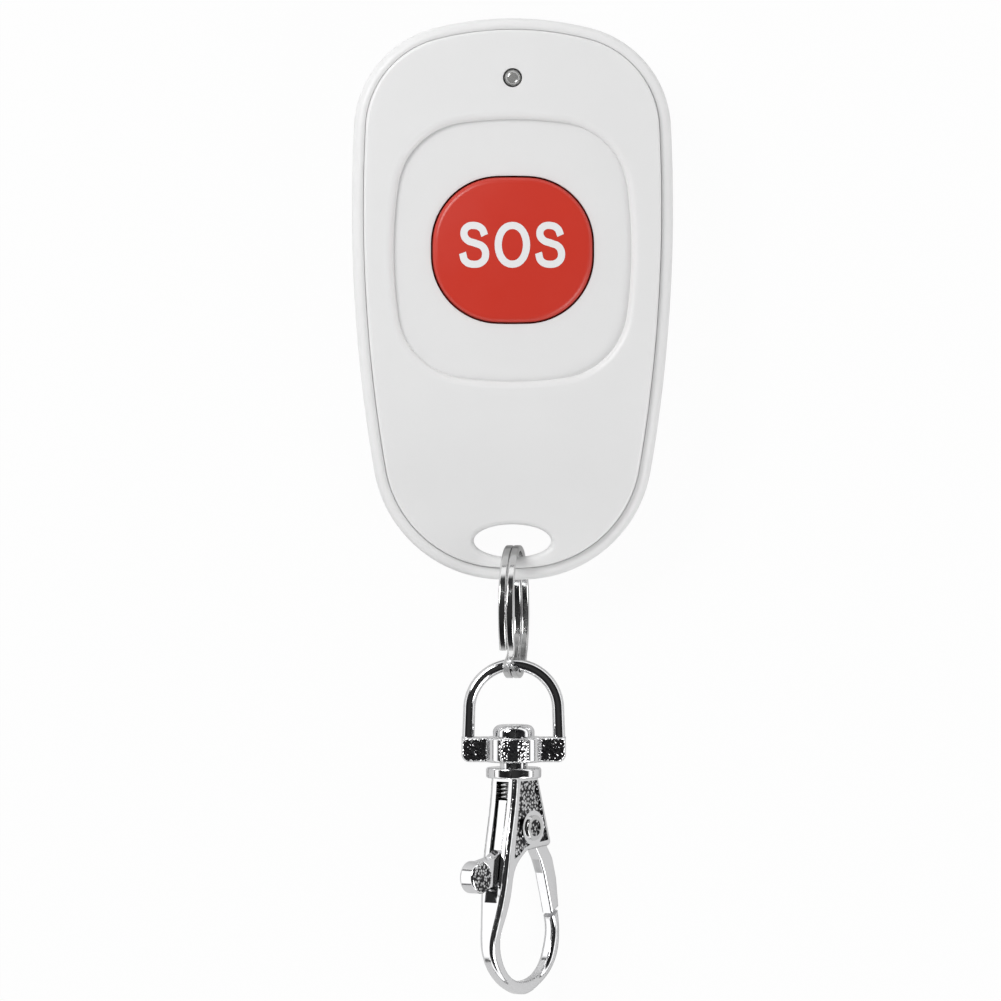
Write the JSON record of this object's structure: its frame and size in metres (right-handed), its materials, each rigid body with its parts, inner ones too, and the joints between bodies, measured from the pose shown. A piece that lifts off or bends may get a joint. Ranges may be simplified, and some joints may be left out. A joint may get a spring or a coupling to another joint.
{
  "type": "wireless panic button",
  "caption": "White oval key-fob transmitter with a red SOS push button in a dished face, on a split ring, swivel bow and trigger snap hook.",
  "frame": {"origin": "a point of the flat back, in line with the middle of the width and 4.6 mm towards the keyring end from the widest part's centre", "axes": "+X to the right seen from the front, +Y from the snap hook towards the status light, +Z out of the button face; the part lies on its back on z = 0"},
  "size_m": [0.0368, 0.1122, 0.0154],
  "materials": {
    "white_shell": "satin moulded",
    "white_plate": "satin moulded",
    "red_key": "satin moulded",
    "clear_lens": "polished",
    "light_chip": "smooth",
    "board_green": "solder mask",
    "black_moulding": "fine matt",
    "tinned_steel": "bright",
    "chip_ceramic": "fired",
    "copper_wire": "enamelled",
    "cell_steel": "polished",
    "spring_bronze": "bright",
    "screw_steel": "blackened",
    "ring_steel": "nickel plated",
    "plated_casting": "polished chrome",
    "pin_steel": "polished",
    "spring_steel": "drawn"
  },
  "bodies": {
    "fob": {"rear_cover": "white_shell", "front_cover": "white_plate", "led_lens": "clear_lens", "status_led": "light_chip", "circuit_board": "board_green", "switch_body": "black_moulding", "switch_cover": "tinned_steel", "dome_contact": "tinned_steel", "encoder_chip": "black_moulding", "resonator_can": "tinned_steel", "tuning_coil": "copper_wire", "capacitor_1": "chip_ceramic", "capacitor_2": "chip_ceramic", "resistor_1": "black_moulding", "antenna_wire": "copper_wire", "coin_cell": "cell_steel", "cell_clip": "spring_bronze", "cell_contact": "spring_bronze", "case_screw": "screw_steel"},
    "button": {"sos_button": "red_key"},
    "plunger": {"switch_plunger": "black_moulding"},
    "ring": {"split_ring": "ring_steel"},
    "bow": {"swivel_bow": "plated_casting"},
    "hook": {"hook_body": "plated_casting", "hinge_rivet": "pin_steel", "latch_spring": "spring_steel"},
    "latch": {"latch_lever": "plated_casting"}
  },
  "joints": [
    {"name": "button_press", "type": "slide", "parent": "fob", "child": "button", "axis": [0, 0, -1], "range_m": [0, 0.0003], "stiffness_N_per_m": 3000},
    {"name": "plunger_press", "type": "slide", "parent": "fob", "child": "plunger", "axis": [0, 0, -1], "range_m": [0, 0.0003], "stiffness_N_per_m": 5, "deforming": ["dome_contact"]},
    {"name": "ring_swing", "type": "hinge", "parent": "fob", "child": "ring", "pos_m": [0, -0.0309, 0.00768], "axis": [1, 0, 0], "range_deg": [-60, 60]},
    {"name": "bow_swing", "type": "hinge", "parent": "ring", "child": "bow", "pos_m": [0.00015, -0.04195, 0.00768], "axis": [1, 0, 0], "range_deg": [-80, 80]},
    {"name": "hook_swivel", "type": "hinge", "parent": "bow", "child": "hook", "pos_m": [0.00015, -0.04195, 0.00768], "axis": [0, 0.9995, 0.03], "continuous": true},
    {"name": "latch_open", "type": "hinge", "parent": "hook", "child": "latch", "pos_m": [0.00086, -0.06068, 0.00618], "axis": [-0.7986, 0.0181, -0.6015], "range_deg": [0, 25], "stiffness_Nm_per_rad": 0.04, "springref_deg": -11.46, "deforming": ["latch_spring"]}
  ],
  "couplings": [
    {"joint": "plunger_press", "follows": "button_press", "ratio": 1}
  ]
}
